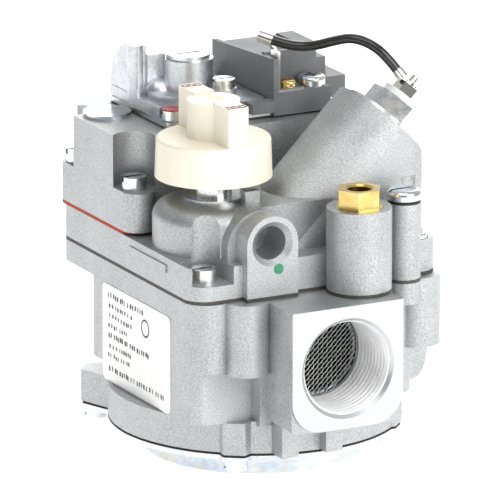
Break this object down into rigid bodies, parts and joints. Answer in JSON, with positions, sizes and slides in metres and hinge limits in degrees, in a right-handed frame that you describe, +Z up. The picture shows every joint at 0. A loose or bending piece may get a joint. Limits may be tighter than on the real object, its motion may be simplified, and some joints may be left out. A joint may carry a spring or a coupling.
{
  "type": "combination gas control valve",
  "caption": "Combination gas control valve with pipe ports, manual reset knob, magnetic safety valve, diaphragm main valve, servo operator and pilot fitting.",
  "frame": {"origin": "centre of the dished bottom cover's resting face, on the main diaphragm's axis", "axes": "+Z up along the main valve's axis; the inlet faces -Y, the outlet +Y, the label -X"},
  "size_m": [0.0869, 0.107, 0.114],
  "materials": {
    "cast_aluminium": "bead-blasted die casting, satin",
    "die_cast_zinc": "smooth bright die casting",
    "zinc_sheet": "zinc-plated sheet, bright",
    "zinc_steel": "zinc-plated steel, bluish and bright",
    "cream_plastic": "moulded, satin",
    "grey_plastic": "moulded, satin with light scuffs",
    "copper_wire": "enamelled copper winding",
    "brass": "turned brass",
    "black_rubber": "moulded nitrile rubber",
    "dark_gasket": "cut sheet gasket",
    "red_fibre": "red vulcanised fibre",
    "black_pvc": "glossy lead insulation",
    "white_plastic": "moulded insulator",
    "silver_label": "satin foil label",
    "tinned_brass": "tin-plated stamping",
    "steel_mesh": "woven wire screen"
  },
  "bodies": {
    "valve_body": {"lower_body": "cast_aluminium", "bottom_cover": "zinc_sheet", "cover_screws": "zinc_steel", "main_diaphragm": "black_rubber", "body_gasket": "dark_gasket", "upper_body": "cast_aluminium", "body_screws": "zinc_steel", "inlet_screen": "steel_mesh", "screen_ring": "zinc_steel", "cock_spring": "zinc_steel", "cock_retainer": "zinc_steel", "stem_bushing": "brass", "stem_o_ring": "black_rubber", "lever_pin": "zinc_steel", "magnet_unit": "zinc_steel", "magnet_seal_disc": "zinc_steel", "magnet_nut": "zinc_steel", "terminal_insulator": "white_plastic", "terminal_stud": "brass", "terminal_nut": "brass", "ring_terminal": "tinned_brass", "power_lead": "black_pvc", "flag_terminal": "tinned_brass", "terminal_strip": "tinned_brass", "terminal_block": "grey_plastic", "block_terminal_screw": "brass", "block_common_screw": "zinc_steel", "side_block": "cast_aluminium", "side_block_gasket": "red_fibre", "side_block_screws": "zinc_steel", "block_plug_disc": "zinc_steel", "operator_gasket": "dark_gasket", "operator_plate": "zinc_sheet", "operator_housing": "die_cast_zinc", "operator_screws": "zinc_steel", "regulator_cap": "zinc_steel", "regulator_diaphragm": "black_rubber", "coil_yoke": "zinc_steel", "operator_coil": "copper_wire", "pilot_nut": "brass", "pilot_cover_screw": "zinc_steel", "pilot_cover_o_ring": "black_rubber", "label": "silver_label", "main_valve_spring": "zinc_steel", "knob_return_spring": "zinc_steel", "safety_spring": "zinc_steel", "regulator_spring": "zinc_steel"},
    "cock": {"cock_plug": "brass"},
    "knob": {"knob": "cream_plastic", "knob_stem": "zinc_steel"},
    "reset_lever": {"reset_lever": "zinc_steel"},
    "safety_valve": {"safety_disc": "black_rubber", "armature": "zinc_steel"},
    "main_valve": {"diaphragm_plate": "zinc_steel", "main_valve_stem": "zinc_steel", "main_valve_disc": "black_rubber"},
    "regulator_adjuster": {"regulator_adjuster": "brass"},
    "regulator_poppet": {"regulator_poppet": "zinc_steel"},
    "pilot_needle": {"pilot_needle": "brass"},
    "flapper": {"operator_flapper": "zinc_steel"}
  },
  "joints": [
    {"name": "knob_turn", "type": "hinge", "parent": "valve_body", "child": "cock", "pos_m": [-0.0189, -0.0121, 0.07], "axis": [0, 0, 1], "range_deg": [0, 180]},
    {"name": "knob_push", "type": "slide", "parent": "cock", "child": "knob", "axis": [0, 0, -1], "range_m": [0, 0.003], "stiffness_N_per_m": 900, "springref_m": -0.003, "deforming": ["knob_return_spring"]},
    {"name": "lever_swing", "type": "hinge", "parent": "valve_body", "child": "reset_lever", "pos_m": [-0.0054, -0.0126, 0.0661], "axis": [0, -1, 0], "range_deg": [0, 13]},
    {"name": "safety_lift", "type": "slide", "parent": "valve_body", "child": "safety_valve", "axis": [0.7071, 0, 0.7071], "range_m": [0, 0.0019], "deforming": ["safety_spring"]},
    {"name": "main_valve_lift", "type": "slide", "parent": "valve_body", "child": "main_valve", "axis": [0, 0, 1], "range_m": [0, 0.003], "stiffness_N_per_m": 300, "springref_m": -0.008, "deforming": ["main_valve_spring"]},
    {"name": "regulator_adjust", "type": "hinge", "parent": "valve_body", "child": "regulator_adjuster", "pos_m": [-0.0062, 0.028, 0.098], "axis": [0, 0, 1], "range_deg": [-360, 360]},
    {"name": "poppet_slide", "type": "slide", "parent": "valve_body", "child": "regulator_poppet", "axis": [0, 0, 1], "range_m": [-0.0006, 0.0006], "stiffness_N_per_m": 600, "deforming": ["regulator_spring"]},
    {"name": "needle_turn", "type": "hinge", "parent": "valve_body", "child": "pilot_needle", "pos_m": [0.0263, -0.037, 0.062], "axis": [0, 0, 1], "range_deg": [-360, 360]},
    {"name": "flapper_swing", "type": "hinge", "parent": "valve_body", "child": "flapper", "pos_m": [-0.0166, 0.0335, 0.0974], "axis": [1, 0, 0], "range_deg": [0, 3], "stiffness_Nm_per_rad": 0.004, "springref_deg": -17.19}
  ],
  "couplings": [
    {"joint": "lever_swing", "follows": "knob_push", "rad_per_m": 74},
    {"joint": "safety_lift", "follows": "knob_push", "ratio": 0.6}
  ]
}
